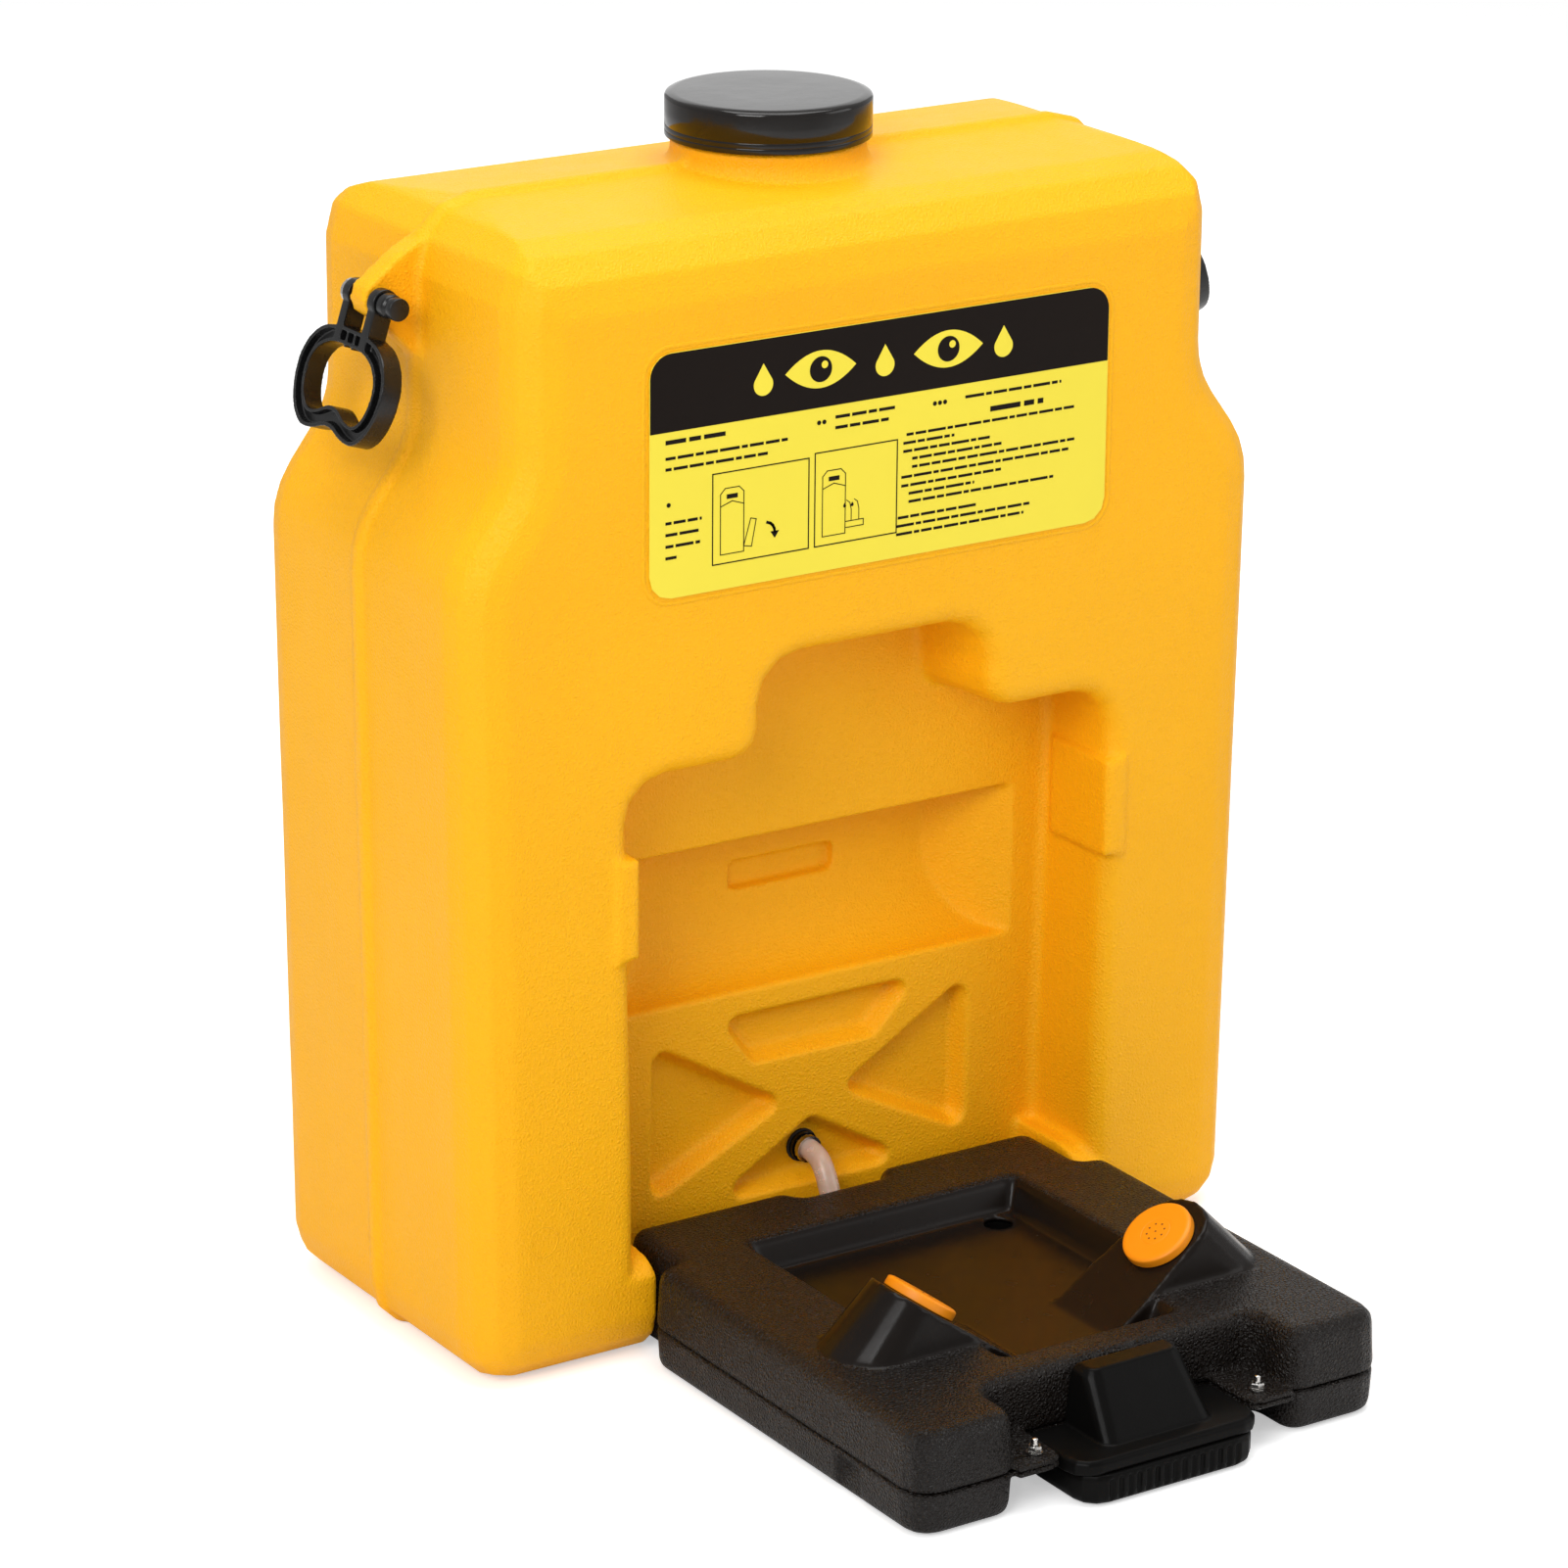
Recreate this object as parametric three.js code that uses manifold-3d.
// Portable gravity-fed eyewash station: a blow-moulded water tank with a screw cap, two swinging
// grips and a fold-down spray tray that hangs in the recess of the tank front.
// Millimetres, +Z up. X runs left to right, the front faces -Y, the origin is on the floor under
// the middle of the tank, in the plane where the two mould halves of the tank meet.
import * as THREE from 'three';
import { mergeVertices } from 'three/addons/utils/BufferGeometryUtils.js';
import Module from 'manifold-3d';

const wasm = await Module();
wasm.setup();

// ---- driving dimensions ----
const GAP = 0.3; // left between pieces that touch
const ARC_STEPS = 3; // straight steps in each rounded corner
const LIP_STEPS = 4; // straight steps in the round lip of the recess
const TANK = {
  footHalfWidth: 259.5, halfWidth: 265, neckedHalfWidth: 228, front: -117, back: 115,
  shoulderLow: 471, shoulderHigh: 520, top: 650, topEdge: 641, topCornerRadius: 38,
  cornerRadius: 25, topEdgeRadius: 38, wall: 4, floorRadius: 16,
};
const RIB = { width: 8, height: 2.8 }; // the raised parting line
const NECK = { radius: 55, shoulderZ: 661, threadRadius: 50, bore: 45, top: 680 };
const CAP = { radius: 58, bottom: 662, height: 24.3, roof: 3.6, inner: 51.8, pitch: 6 };
const RECESS = {
  footHalfWidth: 157.4, halfWidth: 162.5, top: 342, radius: 24, lip: 11, wallY: -54, cornerRadius: 5,
  stepRadius: 18, upperBackHalf: 70, upperFrontHalf: 76, upperTop: 398, upperRadius: 26,
};
const GROOVE = { top: 270.6, deepY: -18.3, arcTop: 237, ridge: 179.5, mouthHalf: 138, deepHalf: 97 };
const SLOT = { width: 72, height: 17, depth: 6, z: 235.5 };
const POCKET_DEPTH = 12.5;
const PIVOT = { y: -96.3, z: 30 }; // hinge line of the tray, parallel to X
const FOOT = { inner: 145, outer: 181, radius: 28 };
const CATCH = { inner: 157.3, outer: 173, front: -119.5, back: -62, low: 241, high: 299 };
const TRAY = {
  rear: -73, rearHalf: 139.6, step: -127, half: 155.4, front: -391.5, setback: -354, setbackHalf: 90.5,
  bottom: 0.2, seam: 25.4, top: 60.4, wall: 3, edge: 8, lowEdge: 6.5, rearArc: 29.6,
};
const BASIN = {
  rear: -124, half: 95, frontHalf: 61, podRear: -252, front: -332, floor: 42, slope: 12, lip: 4,
};
const POD = {
  y: -282, tipX: 61, tipZ: 64.5, slope: THREE.MathUtils.degToRad(35.5), baseX: 146, baseHalf: 29,
  topX: 105, topHalf: 21.5, baseZ: 56, topZ: 97,
};
const DRAIN = { x: 69, y: -145, bore: 8.2, radius: 9.6 };
const DISC = { radius: 21.2, thickness: 6.4, x: 82 };
const OUTLET = { y: RECESS.wallY + POCKET_DEPTH, z: 70, bore: 5 };
const HOSE = { radius: 6.25, bore: 4.9, barb: 4.3 };
const BRANCH = { radius: 5, bore: 3.8, barb: 3.2 };
const GRIP = {
  pinX: 254, pinZ: 601, lean: THREE.MathUtils.degToRad(18), halfWidth: 46, reach: 78, ring: 18,
  bar: 10, depth: 12, earInner: 10.3, earOuter: 16.8, earRadius: 8, pinRadius: 4.5,
};
const LABEL = { half: 151, low: 444.5, high: 581, radius: 13.5, thickness: 0.6 };
const PULL = {
  plateHalf: 62, plateFront: -407, plateLow: 18.4, plateTop: 26.5, gripHalf: 58.5, gripFront: -409.5,
  gripBottom: 0.4, gripEdge: 5.5, flutes: 15, flutePitch: 6, fluteWidth: 3, fluteDepth: 1.6,
};
const STUD = { x: 74.5, y: -382.5, radius: 2 };

// ---- materials ----
function material(color, roughness, metalness = 0) {
  return new THREE.MeshStandardMaterial({ color, roughness, metalness });
}
const tankYellow = material('#ffb81c', 0.5);
const blackGrained = material('#1d1a18', 0.62);
const blackSmooth = material('#151414', 0.35);
const orange = material('#f7921e', 0.4);
const clearHose = material('#d9b9a0', 0.3);
const steel = material('#c9c9c6', 0.28, 1);
const grey = material('#5a5a58', 0.5);
const labelYellow = material('#f9e64a', 0.35);

// ---- solids ----
function toSolid(geometry) {
  geometry.deleteAttribute('normal');
  geometry.deleteAttribute('uv');
  const merged = mergeVertices(geometry, 1e-4);
  return new wasm.Manifold(new wasm.Mesh({
    numProp: 3,
    vertProperties: new Float32Array(merged.attributes.position.array),
    triVerts: new Uint32Array(merged.index.array),
  }));
}

function toGeometry(solid) {
  const mesh = solid.getMesh();
  const geometry = new THREE.BufferGeometry();
  geometry.setAttribute('position', new THREE.BufferAttribute(mesh.vertProperties, 3));
  geometry.setIndex(new THREE.BufferAttribute(mesh.triVerts, 1));
  geometry.computeVertexNormals();
  return geometry;
}

const group = new THREE.Group();

function addPiece(name, solid, look, parent = group) {
  const mesh = new THREE.Mesh(toGeometry(solid), look);
  mesh.name = name;
  parent.add(mesh);
  return mesh;
}

function placed(geometry, matrix) {
  geometry.applyMatrix4(matrix);
  return toSolid(geometry);
}

function box(x0, x1, y0, y1, z0, z1) {
  const geometry = new THREE.BoxGeometry(x1 - x0, y1 - y0, z1 - z0);
  geometry.translate((x0 + x1) / 2, (y0 + y1) / 2, (z0 + z1) / 2);
  return toSolid(geometry);
}

// A cylinder from one point to another.
function rod(from, to, radius, sides = 16) {
  const axis = new THREE.Vector3().subVectors(to, from);
  const geometry = new THREE.CylinderGeometry(radius, radius, axis.length(), sides);
  const along = axis.clone().normalize();
  const turn = new THREE.Quaternion().setFromUnitVectors(new THREE.Vector3(0, 1, 0), along);
  geometry.applyQuaternion(turn);
  const middle = from.clone().addScaledVector(axis, 0.5);
  geometry.translate(middle.x, middle.y, middle.z);
  return toSolid(geometry);
}

// A closed outline of straight sides and rounded corners. Each corner is [x, y, radius]; grow
// moves every side outwards. The corners run anticlockwise.
function outline(corners, grow = 0, steps = ARC_STEPS) {
  const count = corners.length;
  const points = [];
  const at = (i) => new THREE.Vector2(corners[(i + count) % count][0], corners[(i + count) % count][1]);
  for (let i = 0; i < count; i += 1) {
    const before = at(i).sub(at(i - 1)).normalize();
    const after = at(i + 1).sub(at(i)).normalize();
    const turn = Math.atan2(before.cross(after), before.dot(after));
    const sign = Math.sign(turn);
    const half = Math.abs(turn) / 2;
    const radius = Math.max(corners[i][2] + sign * grow, 0.4);
    const outward = new THREE.Vector2(before.y + after.y, -before.x - after.x).normalize();
    const corner = at(i).addScaledVector(outward, grow / Math.cos(half));
    const centre = corner.clone().addScaledVector(outward, (-sign * radius) / Math.cos(half));
    const start = Math.atan2(sign * -before.x, sign * before.y);
    for (let k = 0; k <= steps; k += 1) {
      const angle = start + (turn * k) / steps;
      const arm = new THREE.Vector2(Math.cos(angle), Math.sin(angle)).multiplyScalar(radius);
      points.push(arm.add(centre));
    }
  }
  return points;
}

const mirrored = (corners) => [...corners, ...corners.map(([x, y, r]) => [-x, y, r]).reverse()];

// Outlines stacked at their levels and skinned; place turns (point, level) into a position.
function stack(layers, place) {
  const count = layers[0].points.length;
  const backwards = THREE.ShapeUtils.isClockWise(layers[0].points);
  const rings = layers.map(({ points }) => (backwards ? points.slice().reverse() : points));
  const positions = [];
  rings.forEach((ring, k) => ring.forEach((p) => positions.push(...place(p, layers[k].level).toArray())));
  const index = [];
  for (let k = 0; k + 1 < layers.length; k += 1) {
    for (let i = 0; i < count; i += 1) {
      const a = k * count + i;
      const b = k * count + ((i + 1) % count);
      index.push(a, b, b + count, a, b + count, a + count);
    }
  }
  const last = (layers.length - 1) * count;
  THREE.ShapeUtils.triangulateShape(rings[0], []).forEach(([a, b, c]) => index.push(a, c, b));
  THREE.ShapeUtils.triangulateShape(rings[rings.length - 1], [])
    .forEach(([a, b, c]) => index.push(last + a, last + b, last + c));
  const at = (i) => new THREE.Vector3().fromArray(positions, 3 * i);
  let volume = 0;
  for (let i = 0; i < index.length; i += 3) {
    volume += at(index[i]).dot(at(index[i + 1]).cross(at(index[i + 2])));
  }
  const geometry = new THREE.BufferGeometry();
  geometry.setAttribute('position', new THREE.BufferAttribute(new Float32Array(positions), 3));
  geometry.setIndex(volume > 0 ? index : index.reverse());
  return toSolid(geometry);
}
const upright = (p, level) => new THREE.Vector3(p.x, p.y, level); // outline in XY, stacked along Z
const facing = (p, level) => new THREE.Vector3(p.x, level, p.y); // outline in XZ, stacked along Y
const sideways = (p, level) => new THREE.Vector3(level, p.x, p.y); // outline in YZ, stacked along X

// The same outline between two levels.
function slab(corners, from, to, place, grow = 0) {
  const points = outline(corners, grow);
  return stack([{ points, level: from }, { points, level: to }], place);
}

// Layers of a quarter-round edge: from full size at level, shrinking by radius over radius * way.
function roundedEdge(corners, level, radius, way, grow = 0, steps = ARC_STEPS) {
  const layers = [];
  for (let k = 0; k <= steps; k += 1) {
    const angle = (k / steps) * (Math.PI / 2);
    layers.push({
      points: outline(corners, grow - radius * (1 - Math.cos(angle))),
      level: level + way * radius * Math.sin(angle),
    });
  }
  return layers;
}

// A turned piece: profile of [radius, height] closed on itself or on the axis, about +Z.
function turned(profile, sides = 48) {
  const geometry = new THREE.LatheGeometry(profile.map(([r, z]) => new THREE.Vector2(r, z)), sides);
  geometry.rotateX(Math.PI / 2);
  return toSolid(geometry);
}

function washer(outer, inner, low, high, sides) {
  return turned([[inner, low], [outer, low], [outer, high], [inner, high], [inner, low]], sides);
}

function tube(points, radius, bore, steps, sides = 14) {
  const ring = new THREE.Shape(new THREE.EllipseCurve(0, 0, radius, radius).getPoints(sides).slice(0, -1));
  const hole = new THREE.EllipseCurve(0, 0, bore, bore).getPoints(sides).slice(0, -1).reverse();
  ring.holes.push(new THREE.Path(hole));
  const path = new THREE.CatmullRomCurve3(points.map(([x, y, z]) => new THREE.Vector3(x, y, z)));
  return toSolid(new THREE.ExtrudeGeometry(ring, { steps, extrudePath: path, bevelEnabled: false }));
}

// ---- tank ----
const tankCorners = mirrored([
  [TANK.footHalfWidth, 0, TANK.floorRadius + 12],
  [TANK.halfWidth, TANK.shoulderLow, 60],
  [TANK.neckedHalfWidth, TANK.shoulderHigh, 50],
  [TANK.neckedHalfWidth, TANK.top, TANK.topCornerRadius],
]);

function tankBlock(shrink) {
  const round = TANK.cornerRadius;
  const front = roundedEdge(tankCorners, TANK.front + shrink + round, round, -1, -shrink).reverse();
  const back = roundedEdge(tankCorners, TANK.back - shrink - round, round, 1, -shrink);
  const profile = [
    [TANK.front + shrink, shrink, TANK.floorRadius],
    [TANK.back - shrink, shrink, TANK.floorRadius],
    [TANK.back - shrink, TANK.topEdge - shrink, TANK.topEdgeRadius],
    [0, TANK.top - shrink, 30],
    [TANK.front + shrink, TANK.topEdge - shrink, TANK.topEdgeRadius],
  ];
  const side = slab(profile, -TANK.halfWidth - 9, TANK.halfWidth + 9, sideways);
  return stack([...front, ...back], facing).intersect(side);
}

// The recess, with a round lip where its sides meet the front of the tank.
function recessCutter(grow) {
  const opening = (upperHalf) => mirrored([
    [RECESS.footHalfWidth, -40, 2],
    [RECESS.footHalfWidth, 110, 5],
    [RECESS.halfWidth, RECESS.top, RECESS.radius],
    [upperHalf, RECESS.top, RECESS.stepRadius],
    [upperHalf, RECESS.upperTop, RECESS.upperRadius],
  ]);
  const back = opening(RECESS.upperBackHalf);
  const front = opening(RECESS.upperFrontHalf);
  const layers = [
    { points: outline(back, grow - RECESS.cornerRadius), level: RECESS.wallY + grow },
    { points: outline(back, grow - 1.5), level: RECESS.wallY + grow - 1.5 },
    { points: outline(back, grow), level: RECESS.wallY + grow - RECESS.cornerRadius },
  ];
  const radius = RECESS.lip - grow;
  for (let k = LIP_STEPS; k >= 0; k -= 1) {
    const angle = (k / LIP_STEPS) * (Math.PI / 2);
    layers.push({
      points: outline(front, RECESS.lip - radius * Math.sin(angle)),
      level: TANK.front + RECESS.lip - radius * Math.cos(angle),
    });
  }
  layers.push({ points: outline(front, RECESS.lip), level: TANK.front - 20 });
  return stack(layers, facing);
}

// The hollow across the recess wall that takes the spray pods when the tray is folded up.
function grooveCutter(grow) {
  const depth = GROOVE.deepY - RECESS.wallY + grow;
  const height = GROOVE.arcTop - GROOVE.ridge + grow;
  const profile = [new THREE.Vector2(RECESS.wallY - 5, GROOVE.top + grow)];
  profile.push(new THREE.Vector2(RECESS.wallY - 5, GROOVE.arcTop - height));
  for (let k = 0; k <= 8; k += 1) {
    const angle = (k / 8) * (Math.PI / 2);
    const y = RECESS.wallY + depth * Math.sin(angle);
    const z = GROOVE.arcTop - height * Math.cos(angle);
    profile.push(new THREE.Vector2(y, z));
  }
  profile.push(new THREE.Vector2(RECESS.wallY + depth, GROOVE.top + grow));
  const wide = GROOVE.mouthHalf + grow + 12;
  const across = stack([{ points: profile, level: -wide }, { points: profile, level: wide }], sideways);
  const fall = (GROOVE.mouthHalf - GROOVE.deepHalf) / (GROOVE.deepY - RECESS.wallY);
  const plan = mirrored([
    [GROOVE.mouthHalf + grow + 6 * fall, RECESS.wallY - 6, 2],
    [GROOVE.deepHalf + grow - 4 * fall, GROOVE.deepY + 4 + grow, 8],
  ]);
  return across.intersect(slab(plan, GROOVE.ridge - 30, GROOVE.top + 30, upright));
}

// Four hollows between the ribs of the cross below the groove.
function pocketCutters() {
  const shapes = [
    [[-40, 134, 5], [42, 134, 5], [70, 163, 5], [-62, 163, 5]],
    [[-109, 62, 6], [-20, 105, 5], [-108, 156, 6]],
    [[107, 62, 6], [107, 156, 6], [21, 105, 5]],
    [[-66, 52, 5], [66, 52, 5], [0, 91, 5]],
  ];
  return shapes.map((corners) => stack([
    { points: outline(corners, -4), level: RECESS.wallY + POCKET_DEPTH },
    { points: outline(corners, 1.5), level: RECESS.wallY },
    { points: outline(corners, 3), level: RECESS.wallY - 5 },
  ], facing));
}

// The boss beside the recess that carries a hinge pin. Its front is round about the hinge line.
function footBlock(side) {
  const xs = [side * FOOT.inner, side * FOOT.outer].sort((a, b) => a - b);
  const disc = alongX(xs[0], xs[1], PIVOT.y, PIVOT.z, FOOT.radius, 32);
  const toe = box(xs[0], xs[1], TANK.front + 1, RECESS.wallY + 4, 0, PIVOT.z);
  const rear = box(xs[0], xs[1], PIVOT.y, RECESS.wallY + 4, 0, PIVOT.z + FOOT.radius);
  return disc.add(toe).add(rear).intersect(tankBlock(0));
}

function catchBlock(side) {
  const xs = [side * CATCH.inner, side * CATCH.outer].sort((a, b) => a - b);
  const corners = [
    [xs[0], CATCH.front, 3], [xs[1], CATCH.front, 3], [xs[1], CATCH.back, 3], [xs[0], CATCH.back, 3],
  ];
  return slab(corners, CATCH.low, CATCH.high, upright);
}

function lug(side) {
  const root = TANK.neckedHalfWidth - 8;
  const corners = [
    [root, 556, 3], [GRIP.pinX - 4, 587, 6], [GRIP.pinX + 8, 595, 7], [GRIP.pinX + 8, 607, 7],
    [GRIP.pinX - 14, 624, 8], [root, 634, 3],
  ];
  return slab(corners.map(([x, z, r]) => [side * x, z, r]), -8, 8, facing);
}

function alongY(x, z, y0, y1, radius, sides = 16) {
  return rod(new THREE.Vector3(x, y0, z), new THREE.Vector3(x, y1, z), radius, sides);
}
function alongX(x0, x1, y, z, radius, sides = 16) {
  return rod(new THREE.Vector3(x0, y, z), new THREE.Vector3(x1, y, z), radius, sides);
}
function alongZ(x, y, z0, z1, radius, sides = 16) {
  return rod(new THREE.Vector3(x, y, z0), new THREE.Vector3(x, y, z1), radius, sides);
}

function tankSolid() {
  let shell = tankBlock(0);
  const ribSlab = slab(tankCorners, -RIB.width / 2, RIB.width / 2, facing, RIB.height);
  shell = shell.add(ribSlab.subtract(box(-400, 400, -20, 20, -20, 0)));
  shell = shell.add(turned([
    [0, 600], [NECK.radius + 9, 600], [NECK.radius + 9, 642], [NECK.radius + 3, 647], [NECK.radius, 653],
    [NECK.radius, NECK.shoulderZ], [NECK.threadRadius, NECK.shoulderZ], [NECK.threadRadius, 666],
    [NECK.threadRadius + 1.2, 667.5], [NECK.threadRadius, 669], [NECK.threadRadius, 672],
    [NECK.threadRadius + 1.2, 673.5], [NECK.threadRadius, 675], [NECK.threadRadius, NECK.top],
    [0, NECK.top],
  ], 40));
  shell = shell.subtract(recessCutter(0)).subtract(grooveCutter(0));
  pocketCutters().forEach((cutter) => { shell = shell.subtract(cutter); });
  const slot = mirrored([
    [SLOT.width / 2, SLOT.z - SLOT.height / 2, 4], [SLOT.width / 2, SLOT.z + SLOT.height / 2, 4],
  ]);
  shell = shell.subtract(slab(slot, GROOVE.deepY - 10, GROOVE.deepY + SLOT.depth, facing));
  [-1, 1].forEach((side) => {
    shell = shell.add(footBlock(side)).add(catchBlock(side)).add(lug(side));
  });
  const cavity = tankBlock(TANK.wall)
    .subtract(recessCutter(TANK.wall))
    .subtract(grooveCutter(TANK.wall))
    .subtract(box(-116, 116, -90, OUTLET.y + TANK.wall, 0, 178))
    .subtract(slab(slot, GROOVE.deepY - 10, GROOVE.deepY + SLOT.depth + TANK.wall, facing, TANK.wall))
    .subtract(box(-185, -139, TANK.front, RECESS.wallY + 8, 0, 64))
    .subtract(box(139, 185, TANK.front, RECESS.wallY + 8, 0, 64));
  shell = shell.subtract(cavity);
  shell = shell.subtract(alongZ(0, 0, 620, 700, NECK.bore, 40));
  shell = shell.subtract(alongY(0, OUTLET.z, -60, -20, OUTLET.bore));
  [-1, 1].forEach((side) => {
    shell = shell.subtract(alongY(side * GRIP.pinX, GRIP.pinZ, -30, 30, GRIP.pinRadius + GAP));
    shell = shell.subtract(alongX(side * 120, side * 161, PIVOT.y, PIVOT.z, 5 + GAP));
  });
  return shell;
}

function labelPanel() {
  const corners = mirrored([[LABEL.half, LABEL.low, LABEL.radius], [LABEL.half, LABEL.high, LABEL.radius]]);
  const face = TANK.front - GAP;
  return slab(corners, face - LABEL.thickness, face, facing);
}

// ---- filler cap ----
function capSolid() {
  const top = CAP.bottom + CAP.height;
  return turned([
    [CAP.inner, CAP.bottom], [CAP.radius - 0.8, CAP.bottom], [CAP.radius, CAP.bottom + 0.8],
    [CAP.radius, top - 4], [CAP.radius - 1.2, top - 1.2], [CAP.radius - 4, top], [0, top],
    [0, top - CAP.roof], [CAP.inner, top - CAP.roof], [CAP.inner, CAP.bottom],
  ], 48);
}

function sealSolid() {
  return washer(51.2, 44, NECK.top + GAP, CAP.bottom + CAP.height - CAP.roof - GAP, 40);
}

// ---- grips ----
// A grip lies in the plane of Y and the hanging direction; local y is across, local z is up the grip.
function gripSolid() {
  const { halfWidth: w, reach, ring, bar, depth } = GRIP;
  const outer = mirrored([[w - 9, -reach, 16], [w, -ring - 25, 19], [w - 17, -ring, 15]]);
  const innerHole = [
    [-w + bar + 5, -reach + bar + 2, 8], [-9, -reach + bar + 6, 12], [9, -reach + bar + 6, 12],
    [w - bar - 5, -reach + bar + 2, 8], [w - bar, -ring - 25, 11], [w - 23, -ring - bar + 1, 9],
    [-w + 23, -ring - bar + 1, 9], [-w + bar, -ring - 25, 11],
  ];
  let solid = slab(outer, -depth / 2, depth / 2, sideways)
    .subtract(slab(innerHole, -depth, depth, sideways));
  [-1, 1].forEach((side) => {
    const ys = [side * GRIP.earInner, side * GRIP.earOuter].sort((a, b) => a - b);
    const arm = box(-depth / 2, depth / 2, ys[0], ys[1], -ring - 6, 0);
    solid = solid.add(arm).add(alongY(0, 0, ys[0], ys[1], GRIP.earRadius));
  });
  return solid.subtract(alongY(0, 0, -40, 40, GRIP.pinRadius + GAP));
}

function gripPin() {
  return alongY(0, 0, -30, 21, GRIP.pinRadius)
    .add(alongY(0, 0, -32, -26, 6.3))
    .add(alongY(0, 0, -26, -GRIP.earOuter - GAP, 5.6));
}

function addGrip(side, label) {
  const hanger = new THREE.Group();
  hanger.position.set(side * GRIP.pinX, 0, GRIP.pinZ);
  hanger.rotation.y = -side * GRIP.lean;
  group.add(hanger);
  addPiece(`grip_${label}`, gripSolid(), blackSmooth, hanger);
  addPiece(`grip_pin_${label}`, gripPin(), blackSmooth, hanger);
  const clip = alongY(0, 0, GRIP.earOuter + GAP, 20, 7.2)
    .subtract(alongY(0, 0, 0, 40, GRIP.pinRadius + GAP));
  addPiece(`grip_pin_clip_${label}`, clip, steel, hanger);
}

// ---- tray ----
function trayOutline() {
  const right = [
    [TRAY.setbackHalf, TRAY.setback, 9], [TRAY.setbackHalf, TRAY.front, 12], [TRAY.half, TRAY.front, 16],
    [TRAY.half, TRAY.step, 10], [TRAY.rearHalf, TRAY.step, 6], [TRAY.rearHalf, TRAY.rear, 10.5],
    [34, TRAY.rear, 9], [26, TRAY.rear - 12, 6],
  ];
  return mirrored(right);
}

// The part of the tray behind and below the hinge line is cut to an arc, so that it clears the floor.
function rearBottomCutter() {
  const block = box(-200, 200, PIVOT.y, PIVOT.y + 60, -20, PIVOT.z);
  return block.subtract(alongX(-210, 210, PIVOT.y, PIVOT.z, TRAY.rearArc, 36));
}

// Height of the sloping pod face at x, sunk by shift square to the face.
function podPlane(x, shift = 0) {
  return POD.tipZ + Math.tan(POD.slope) * (x - POD.tipX) - shift / Math.cos(POD.slope);
}

// A spray pod: a ramp that narrows upwards with a half-round outer end, cut by the sloping face.
function podSolid(side, inset) {
  const crown = POD.topZ + 6;
  const crownShare = (crown - POD.baseZ) / (POD.topZ - POD.baseZ);
  const layers = [[POD.baseZ - 26, 0], [POD.baseZ, 0], [crown, crownShare]];
  const rings = layers.map(([level, t]) => {
    const half = POD.baseHalf + (POD.topHalf - POD.baseHalf) * t - inset;
    const end = POD.baseX + (POD.topX - POD.baseX) * t - inset;
    const points = [new THREE.Vector2(side * 20, POD.y - half)];
    for (let k = 0; k <= 10; k += 1) {
      const angle = -Math.PI / 2 + (Math.PI * k) / 10;
      const x = end - half + half * Math.cos(angle);
      points.push(new THREE.Vector2(side * x, POD.y + half * Math.sin(angle)));
    }
    points.push(new THREE.Vector2(side * 20, POD.y + half));
    return { points, level };
  });
  const ramp = [
    new THREE.Vector2(0, podPlane(0, inset)), new THREE.Vector2(200, podPlane(200, inset)),
    new THREE.Vector2(200, 260), new THREE.Vector2(0, 260),
  ].map((p) => new THREE.Vector2(side * p.x, p.y));
  const above = stack([{ points: ramp, level: -340 }, { points: ramp, level: -220 }], facing);
  return stack(rings, upright).subtract(above);
}

function basinCutter(grow) {
  const wide = mirrored([[BASIN.half, BASIN.podRear - 8, 6], [BASIN.half, BASIN.rear, 8]]);
  const narrow = mirrored([[BASIN.frontHalf, BASIN.front, 8], [BASIN.frontHalf, BASIN.podRear + 20, 6]]);
  const sloped = (corners) => stack([
    { points: outline(corners, grow - BASIN.slope), level: BASIN.floor - grow },
    { points: outline(corners, grow - BASIN.slope + 2), level: BASIN.floor - grow + 1 },
    { points: outline(corners, grow - BASIN.lip), level: TRAY.top - BASIN.lip },
    { points: outline(corners, grow), level: TRAY.top + 0.5 },
    { points: outline(corners, grow), level: TRAY.top + 30 },
  ], upright);
  const floorStrip = box(-37, 37, BASIN.podRear - 30, BASIN.podRear + 10, BASIN.floor - grow, 80);
  return sloped(wide).add(sloped(narrow)).add(floorStrip);
}

function discFrame(side) {
  const frame = new THREE.Matrix4().makeRotationY(-side * POD.slope);
  frame.setPosition(side * DISC.x, POD.y, podPlane(DISC.x));
  return frame;
}

function onPod(side, geometry) {
  geometry.rotateX(Math.PI / 2);
  return placed(geometry, discFrame(side));
}

function lathe(profile, sides) {
  return new THREE.LatheGeometry(profile.map(([r, z]) => new THREE.Vector2(r, z)), sides);
}

const bossSpots = [[-123, -370], [123, -370], [-118, -92], [118, -92]];

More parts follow.
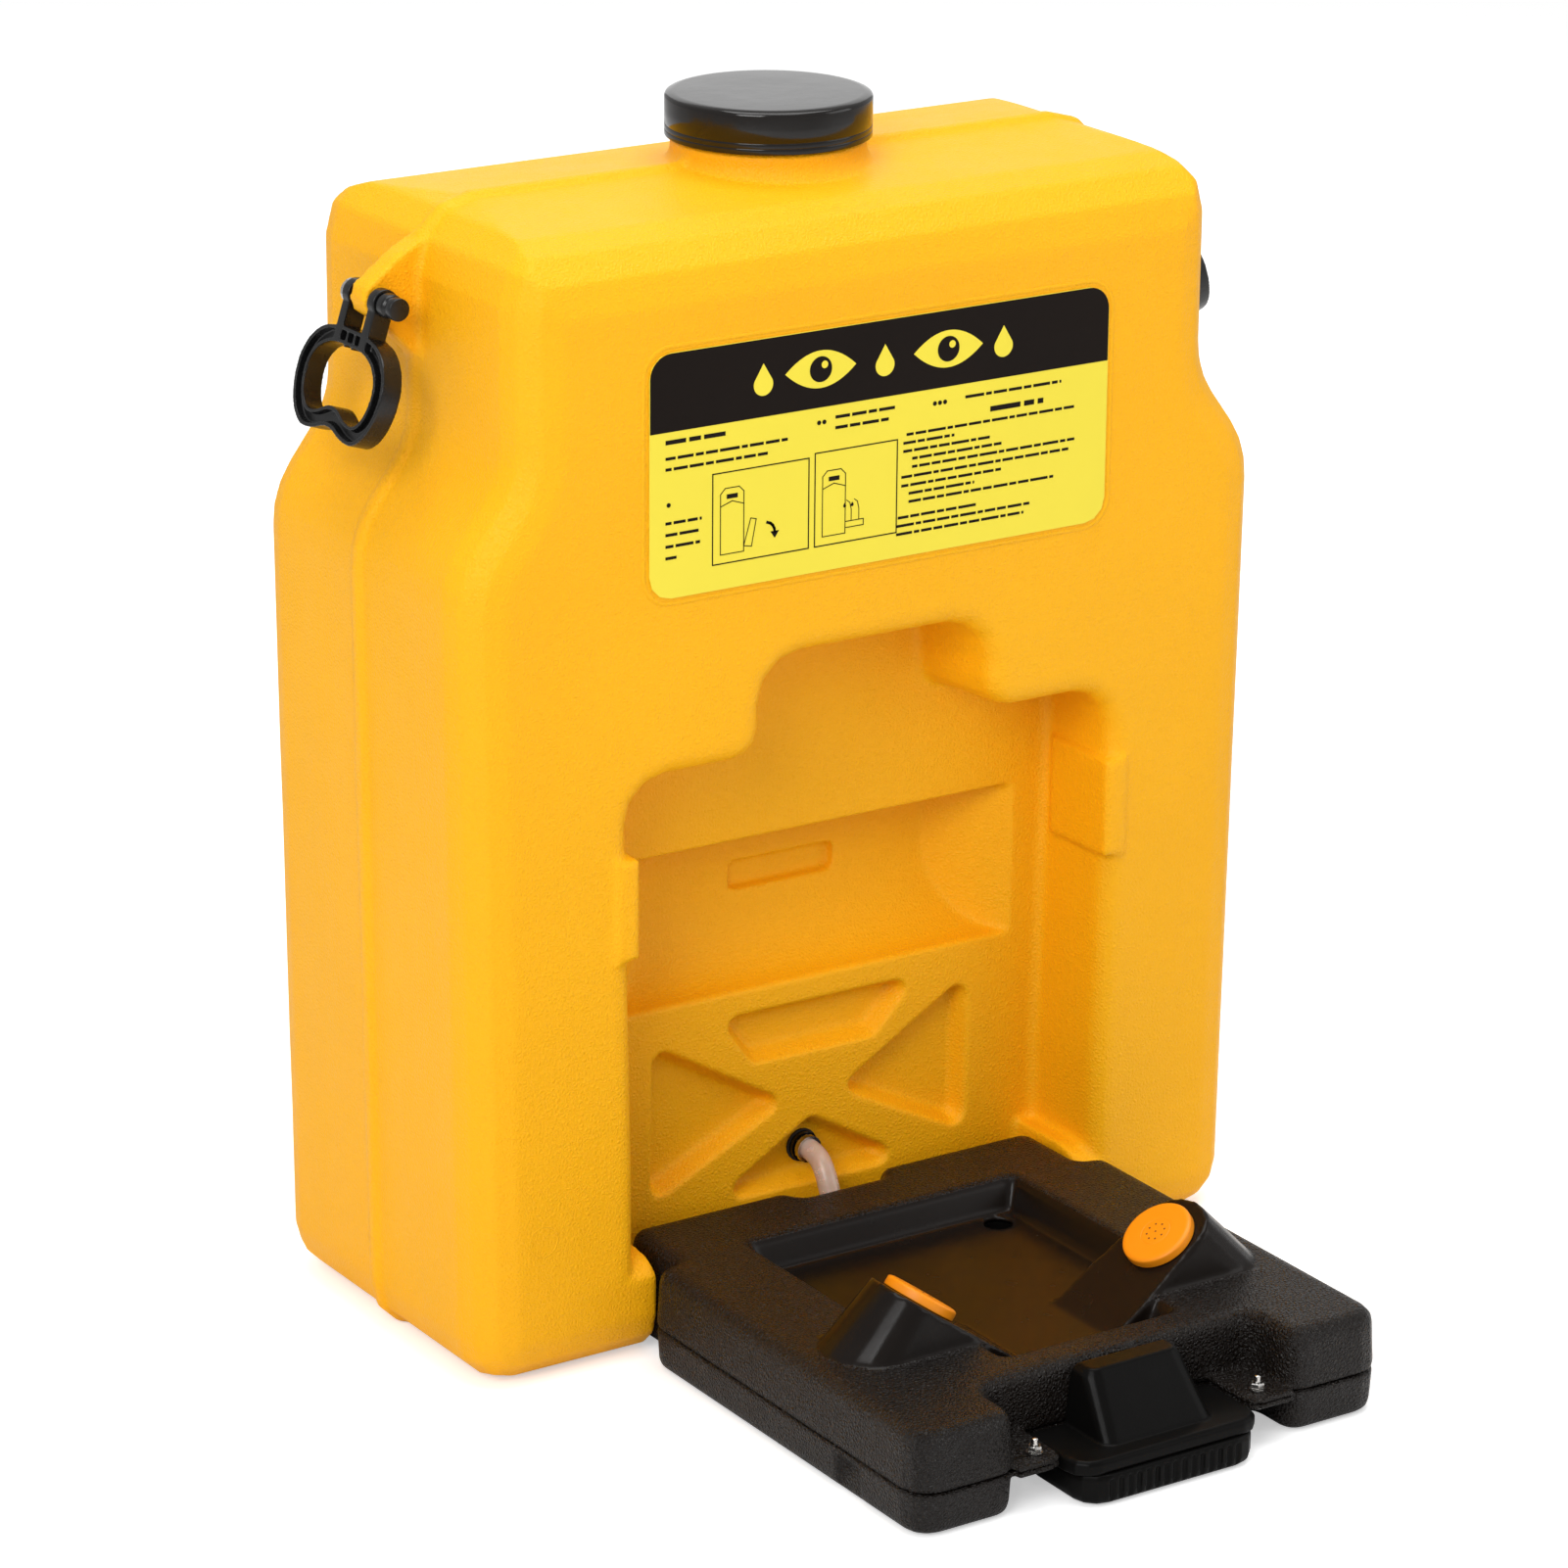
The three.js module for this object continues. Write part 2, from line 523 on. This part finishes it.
function trayTop() {
  const corners = trayOutline();
  const seam = TRAY.seam + GAP / 2;
  const outer = stack([
    { points: outline(corners), level: seam }, { points: outline(corners, 0.8), level: seam + 1.6 },
    ...roundedEdge(corners, TRAY.top - TRAY.edge, TRAY.edge, 1, -0.6),
  ], upright);
  const inner = slab(corners, seam - 5, TRAY.top - TRAY.wall, upright, -TRAY.wall);
  const pods = podSolid(-1, 0).add(podSolid(1, 0))
    .intersect(box(-200, 200, -400, 0, BASIN.floor - TRAY.wall, 200));
  let shell = outer.subtract(basinCutter(0)).add(pods);
  const room = inner.subtract(basinCutter(TRAY.wall))
    .add(podSolid(-1, TRAY.wall))
    .add(podSolid(1, TRAY.wall));
  shell = shell.subtract(room.subtract(box(-200, 200, -400, 0, -50, 5)));
  bossSpots.forEach(([x, y]) => {
    const post = alongZ(x, y, seam, TRAY.top - TRAY.wall + 0.5, 6).subtract(alongZ(x, y, 0, 44, 2));
    shell = shell.add(post);
  });
  [-1, 1].forEach((side) => {
    shell = shell.add(slab(screwTab(side), seam, seam + 3.2, upright));
    shell = shell.subtract(alongZ(side * STUD.x, STUD.y, 0, 60, STUD.radius + GAP));
    shell = shell.subtract(onPod(side, new THREE.CylinderGeometry(7.5, 7.5, 30, 16)));
    shell = shell.subtract(alongX(side * 125, side * 150, PIVOT.y, PIVOT.z, 8 + GAP));
  });
  shell = shell.subtract(alongZ(DRAIN.x, DRAIN.y, 20, 60, DRAIN.bore, 24));
  shell = shell.subtract(rearBottomCutter()).subtract(hoseHole());
  return shell;
}

const hoseHole = () => alongY(0, 36, -100, -70, HOSE.radius + 4.5);

function screwTab(side) {
  const inner = PULL.plateHalf + GAP;
  const outer = TRAY.setbackHalf + 2;
  const tab = [[inner, -394, 8], [outer, -394, 1], [outer, -352, 1], [inner, -352, 1]];
  return side > 0 ? tab : tab.map(([x, y, r]) => [-x, y, r]).reverse();
}

function trayBottom() {
  const corners = trayOutline();
  const seam = TRAY.seam - GAP / 2;
  const outer = stack([
    ...roundedEdge(corners, TRAY.bottom + TRAY.lowEdge, TRAY.lowEdge, -1, -0.4).reverse(),
    { points: outline(corners, 0.6), level: seam - 1.6 }, { points: outline(corners), level: seam },
  ], upright);
  const inner = slab(corners, TRAY.bottom + TRAY.wall, seam + 10, upright, -TRAY.wall - 1.2)
    .subtract(box(-200, 200, PIVOT.y, -60, 0, 14));
  let shell = outer.subtract(inner);
  bossSpots.forEach(([x, y]) => {
    shell = shell.add(alongZ(x, y, TRAY.bottom + 1, seam, 6));
    shell = shell.subtract(alongZ(x, y, 0, 60, 2.2)).subtract(alongZ(x, y, -1, 8, 4.4));
  });
  [-1, 1].forEach((side) => {
    shell = shell.add(slab(screwTab(side), seam - 3.2, seam, upright));
    shell = shell.subtract(alongZ(side * STUD.x, STUD.y, 0, 60, STUD.radius + GAP));
    const xs = [side * (TRAY.half - 2.2), side * (TRAY.half + 10)].sort((a, b) => a - b);
    shell = shell.subtract(box(xs[0], xs[1], -337, -313, -5, 21.5));
    shell = shell.subtract(alongX(side * 125, side * 150, PIVOT.y, PIVOT.z, 8 + GAP));
  });
  shell = shell.subtract(alongZ(DRAIN.x, DRAIN.y, -5, 20, DRAIN.radius + GAP, 24));
  return shell.subtract(rearBottomCutter()).subtract(hoseHole());
}

function pullCover() {
  const wall = TRAY.setback - 1.4;
  const plate = mirrored([[PULL.plateHalf - GAP, PULL.plateFront, 14], [PULL.plateHalf - GAP, wall, 1]]);
  const base = stack([
    { points: outline(plate), level: PULL.plateLow },
    { points: outline(plate), level: PULL.plateTop - 2 },
    { points: outline(plate, -2), level: PULL.plateTop },
  ], upright);
  const low = mirrored([[36, -394.5, 7], [36, wall, 1]]);
  const high = mirrored([[31, -372, 7], [31, wall, 1]]);
  const block = stack([
    { points: outline(low), level: PULL.plateTop - 4 }, { points: outline(low), level: PULL.plateTop + 1 },
    { points: outline(high, 1), level: 56.5 }, { points: outline(high, -2), level: TRAY.top },
  ], upright);
  return base.add(block);
}

function pullGrip() {
  const { gripHalf, gripFront, gripBottom, gripEdge, flutes, flutePitch, fluteWidth } = PULL;
  const plan = mirrored([[gripHalf, gripFront, 16], [gripHalf, -356.5, 4]]);
  const top = PULL.plateLow - GAP;
  const inset = 2.5;
  let solid = stack([
    ...roundedEdge(plan, gripBottom + gripEdge, gripEdge, -1, 0).reverse(),
    { points: outline(plan), level: top - 3 }, { points: outline(plan, -1), level: top },
  ], upright);
  const cutter = box(-fluteWidth / 2, fluteWidth / 2, gripFront - 4, gripFront + PULL.fluteDepth,
    gripBottom + inset, top - inset);
  for (let k = 0; k < flutes; k += 1) {
    solid = solid.subtract(cutter.translate([(k - (flutes - 1) / 2) * flutePitch, 0, 0]));
  }
  return solid;
}

// ---- water path ----
const TEE = { y: -190, z: 20, half: 9, branchReach: 24, inletReach: 26 };

function teeSolid() {
  const { y, z, half, branchReach, inletReach } = TEE;
  return box(-half, half, y - half, y + half, z - 8, z + 8)
    .add(alongY(0, z, y, y + inletReach, HOSE.barb))
    .add(alongX(-branchReach, branchReach, y, z, BRANCH.barb))
    .subtract(alongY(0, z, y, y + 40, 2.6))
    .subtract(alongX(-40, 40, y, z, 2));
}

// A turned piece about the outlet axis, which runs along Y; profile of [radius, y].
function onOutlet(profile, sides = 16) {
  const geometry = lathe(profile, sides);
  geometry.translate(0, 0, OUTLET.z);
  return toSolid(geometry);
}

function outletFitting() {
  const face = OUTLET.y - 2.1;
  return onOutlet([
    [2.6, face - 9], [HOSE.barb, face - 9], [HOSE.barb, face - 3], [9, face - 3], [9, face],
    [OUTLET.bore - GAP, face], [OUTLET.bore - GAP, OUTLET.y + 15], [2.6, OUTLET.y + 15], [2.6, face - 9],
  ], 24);
}

function outletSeal() {
  const from = OUTLET.y - 1.8;
  const to = OUTLET.y - GAP;
  return onOutlet([[OUTLET.bore, from], [10, from], [10, to], [OUTLET.bore, to], [OUTLET.bore, from]], 20);
}

function outletNut() {
  const inside = OUTLET.y + TANK.wall + GAP;
  return alongY(0, OUTLET.z, inside, inside + 6, 10, 6).subtract(alongY(0, OUTLET.z, -60, 0, OUTLET.bore));
}

const hoseStart = OUTLET.y - 2.1 - 3 - GAP;
const supplyRoute = [
  [0, hoseStart, OUTLET.z], [0, -53, 70], [0, -61, 68], [0, -68, 61], [0, -75, 48], [0, -84, 38],
  [0, -98, 31], [0, -122, 23], [0, -145, 20], [0, -162, 20], [0, TEE.y + TEE.half + 0.6, 20],
];

// A point down the axis of a nozzle, at a distance under the sloping face.
function underDisc(side, depth) {
  const point = new THREE.Vector3(0, 0, -depth).applyMatrix4(discFrame(side));
  return point.toArray();
}

function branchRoute(side) {
  return [
    underDisc(side, 24.5), underDisc(side, 32), underDisc(side, 40), [side * 114, -280, 40],
    [side * 117, -270, 30], [side * 112, -250, 22], [side * 92, -222, 20], [side * 64, -198, 20],
    [side * 40, TEE.y, 20], [side * 26, TEE.y, 20], [side * (TEE.half + 0.6), TEE.y, 20],
  ];
}

function branchClampAtNozzle(side) {
  const profile = [[5.3, -31], [6.3, -31], [6.3, -27], [5.3, -27], [5.3, -31]];
  return onPod(side, lathe(profile, 16));
}

function branchClampAtTee(side) {
  const xs = [side * 13, side * 17].sort((a, b) => a - b);
  return alongX(xs[0], xs[1], TEE.y, TEE.z, 6.3).subtract(alongX(-30, 30, TEE.y, TEE.z, 5.3));
}

function hoseClamp(from, to, z) {
  return alongY(0, z, from, to, 8.2).subtract(alongY(0, z, from - 9, to + 9, HOSE.radius + 2 * GAP));
}

function discSolid(side) {
  const t = DISC.thickness;
  return onPod(side, lathe([
    [0, GAP], [DISC.radius - 1, GAP], [DISC.radius, GAP + 1],
    [DISC.radius, t - 1.2], [DISC.radius - 1.2, t], [0, t],
  ], 32));
}

// The nozzle stands under the disc, square to the sloping face, and ends in a hose barb.
function nozzleSolid(side) {
  const barb = BRANCH.barb;
  return onPod(side, lathe([
    [0, -38], [barb, -38], [barb, -24], [6, -22], [11, -22], [11, -14], [6.6, -14], [6.6, -0.2], [0, -0.2],
  ], 16));
}

// ---- small hardware ----
function pivotPin(side) {
  return alongX(side * 130, side * 160.5, PIVOT.y, PIVOT.z, 5)
    .add(alongX(side * 126, side * 130.5, PIVOT.y, PIVOT.z, 8.4));
}

function pivotBush(side) {
  return alongX(side * 131, side * 144.5, PIVOT.y, PIVOT.z, 8)
    .add(alongX(side * 141, side * 144.5, PIVOT.y, PIVOT.z, 10.5))
    .subtract(alongX(side * 100, side * 170, PIVOT.y, PIVOT.z, 5 + GAP));
}

function studScrew(side) {
  const x = side * STUD.x;
  return alongZ(x, STUD.y, 19.4, 37.2, STUD.radius).add(alongZ(x, STUD.y, 18.4, 21.7, 4));
}

function studRing(side, outer, low, high, sides) {
  const x = side * STUD.x;
  return alongZ(x, STUD.y, low, high, outer, sides)
    .subtract(alongZ(x, STUD.y, 0, 60, STUD.radius + GAP, 12));
}

function shellScrew([x, y]) {
  return alongZ(x, y, 7, 40, 1.7, 10).add(alongZ(x, y, 4.6, 7.7, 4, 16));
}

const drainTube = () => alongZ(DRAIN.x, DRAIN.y, 1.2, BASIN.floor - TRAY.wall - GAP, DRAIN.radius, 24)
  .subtract(alongZ(DRAIN.x, DRAIN.y, -5, 60, DRAIN.bore, 24));

// ---- building ----
const SIDES = [[-1, 'left'], [1, 'right']];
addPiece('tank', tankSolid(), tankYellow);
addPiece('label_panel', labelPanel(), labelYellow);
addPiece('filler_cap', capSolid(), blackSmooth);
addPiece('cap_seal', sealSolid(), grey);
SIDES.forEach(([side, label]) => addGrip(side, label));
addPiece('outlet_fitting', outletFitting(), blackSmooth);
addPiece('outlet_seal', outletSeal(), grey);
addPiece('outlet_nut', outletNut(), grey);
addPiece('supply_hose', tube(supplyRoute, HOSE.radius, HOSE.bore, 15, 10), clearHose);
addPiece('hose_clamp_tank', hoseClamp(-51.5, -48, OUTLET.z), steel);
addPiece('hose_clamp_tray', hoseClamp(-176, -171, TEE.z), steel);
addPiece('tray_top_shell', trayTop(), blackGrained);
addPiece('tray_bottom_shell', trayBottom(), blackGrained);
addPiece('pull_cover', pullCover(), blackSmooth);
addPiece('pull_grip', pullGrip(), blackSmooth);
addPiece('manifold_tee', teeSolid(), grey);
addPiece('drain_tube', drainTube(), clearHose);
SIDES.forEach(([side, label]) => {
  addPiece(`spray_disc_${label}`, discSolid(side), orange);
  addPiece(`nozzle_${label}`, nozzleSolid(side), grey);
  addPiece(`branch_hose_${label}`, tube(branchRoute(side), BRANCH.radius, BRANCH.bore, 12, 8), clearHose);
  addPiece(`branch_clamp_nozzle_${label}`, branchClampAtNozzle(side), steel);
  addPiece(`branch_clamp_tee_${label}`, branchClampAtTee(side), steel);
  addPiece(`pivot_pin_${label}`, pivotPin(side), steel);
  addPiece(`pivot_bush_${label}`, pivotBush(side), grey);
  addPiece(`stud_screw_${label}`, studScrew(side), steel);
  addPiece(`stud_washer_${label}`, studRing(side, 4.6, 29.05, 29.85, 16), steel);
  addPiece(`stud_nut_${label}`, studRing(side, 4, 30.15, 33.2, 6), steel);
});
bossSpots.forEach((spot, k) => addPiece(`shell_screw_${k + 1}`, shellScrew(spot), steel));

export default group;
